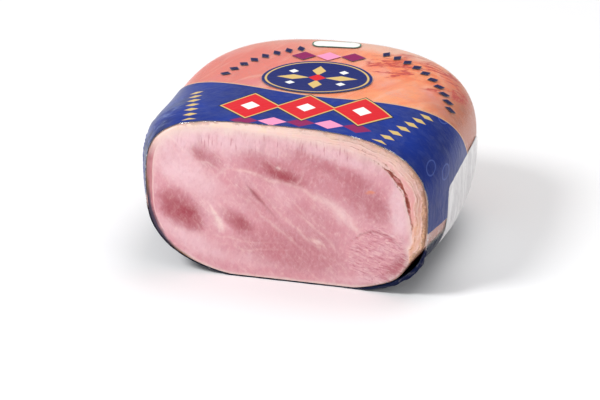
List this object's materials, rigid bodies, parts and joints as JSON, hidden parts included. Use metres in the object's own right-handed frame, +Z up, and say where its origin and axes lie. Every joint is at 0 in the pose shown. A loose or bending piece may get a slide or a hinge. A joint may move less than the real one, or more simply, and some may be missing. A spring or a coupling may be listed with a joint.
{
  "type": "cooked ham",
  "caption": "Boneless cooked ham, rounded at one end and cut flat at the other, lying on its flat side in a tight printed film.",
  "frame": {"origin": "on the surface that the ham lies on, at the middle of its footprint", "axes": "+Z up; the cut face looks along -Y, and +X is on the right of someone who looks at it"},
  "size_m": [0.2516, 0.2285, 0.1323],
  "materials": {
    "ham_meat": "moist cooked meat, satin",
    "printed_film": "printed film, glossy"
  },
  "bodies": {
    "root": {"ham": "ham_meat", "film": "printed_film"}
  },
  "joints": []
}
